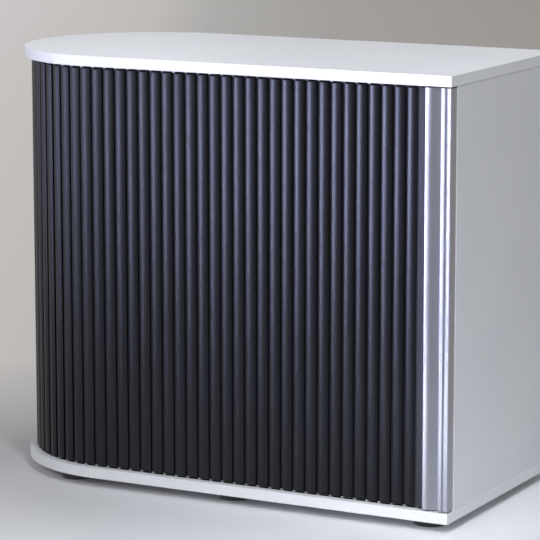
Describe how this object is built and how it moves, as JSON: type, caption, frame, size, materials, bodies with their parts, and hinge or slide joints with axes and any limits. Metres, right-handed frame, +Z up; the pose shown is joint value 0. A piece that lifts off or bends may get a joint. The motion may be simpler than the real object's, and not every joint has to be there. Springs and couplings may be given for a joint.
{
  "type": "tambour door cabinet",
  "caption": "White cabinet with a half-round end, a black slatted shutter that slides round the end, a full-height aluminium handle rail, an inner shelf and levelling feet.",
  "frame": {"origin": "on the floor, at the centre of the footprint", "axes": "+Z up, the shutter's straight front faces -Y, the half-round end is at -X"},
  "size_m": [0.8999, 0.45, 0.75],
  "materials": {
    "white_board": "white melamine-faced board, satin",
    "white_edge": "white edging, satin",
    "beech": "plain beech",
    "black_track": "black extruded plastic",
    "black_slat": "black, fine satin sheen",
    "white_nylon": "white nylon",
    "satin_aluminium": "satin anodised",
    "zinc_steel": "zinc plated",
    "black_foot": "black moulded"
  },
  "bodies": {
    "carcass": {"top_panel": "white_board", "base_panel": "white_board", "top_edge_band": "white_edge", "base_edge_band": "white_edge", "right_side_panel": "white_board", "left_partition": "white_board", "back_panel": "white_board", "shelf": "white_board", "shelf_cleats": "beech", "panel_tenons": "beech", "upper_track": "black_track", "lower_track": "black_track", "track_stops": "black_track", "round_end_slats": "black_slat", "round_end_slat_glides": "white_nylon", "foot_inserts": "zinc_steel"},
    "lead_rail": {"handle_rail": "satin_aluminium", "lead_strip": "black_slat", "rail_glide_caps": "black_track", "front_slats": "black_slat", "front_slat_glides": "white_nylon"},
    "tail": {"tail_bar": "black_slat", "tail_glides": "white_nylon"},
    "foot_front_right": {"foot_pad_front_right": "black_foot", "foot_stem_front_right": "zinc_steel"},
    "foot_front_middle": {"foot_pad_front_middle": "black_foot", "foot_stem_front_middle": "zinc_steel"},
    "foot_front_left": {"foot_pad_front_left": "black_foot", "foot_stem_front_left": "zinc_steel"},
    "foot_rear_right": {"foot_pad_rear_right": "black_foot", "foot_stem_rear_right": "zinc_steel"},
    "foot_rear_middle": {"foot_pad_rear_middle": "black_foot", "foot_stem_rear_middle": "zinc_steel"},
    "foot_rear_left": {"foot_pad_rear_left": "black_foot", "foot_stem_rear_left": "zinc_steel"}
  },
  "joints": [
    {"name": "shutter_slide", "type": "slide", "parent": "carcass", "child": "lead_rail", "axis": [-1, 0, 0], "range_m": [0, 0.6], "deforming": ["front_slats", "front_slat_glides"]},
    {"name": "tail_slide", "type": "slide", "parent": "carcass", "child": "tail", "axis": [1, 0, 0], "range_m": [0, 0.6]},
    {"name": "level_front_right", "type": "slide", "parent": "carcass", "child": "foot_front_right", "axis": [0, 0, -1], "range_m": [0, 0.01]},
    {"name": "level_front_middle", "type": "slide", "parent": "carcass", "child": "foot_front_middle", "axis": [0, 0, -1], "range_m": [0, 0.01]},
    {"name": "level_front_left", "type": "slide", "parent": "carcass", "child": "foot_front_left", "axis": [0, 0, -1], "range_m": [0, 0.01]},
    {"name": "level_rear_right", "type": "slide", "parent": "carcass", "child": "foot_rear_right", "axis": [0, 0, -1], "range_m": [0, 0.01]},
    {"name": "level_rear_middle", "type": "slide", "parent": "carcass", "child": "foot_rear_middle", "axis": [0, 0, -1], "range_m": [0, 0.01]},
    {"name": "level_rear_left", "type": "slide", "parent": "carcass", "child": "foot_rear_left", "axis": [0, 0, -1], "range_m": [0, 0.01]}
  ],
  "couplings": [
    {"joint": "tail_slide", "follows": "shutter_slide", "ratio": 1}
  ]
}
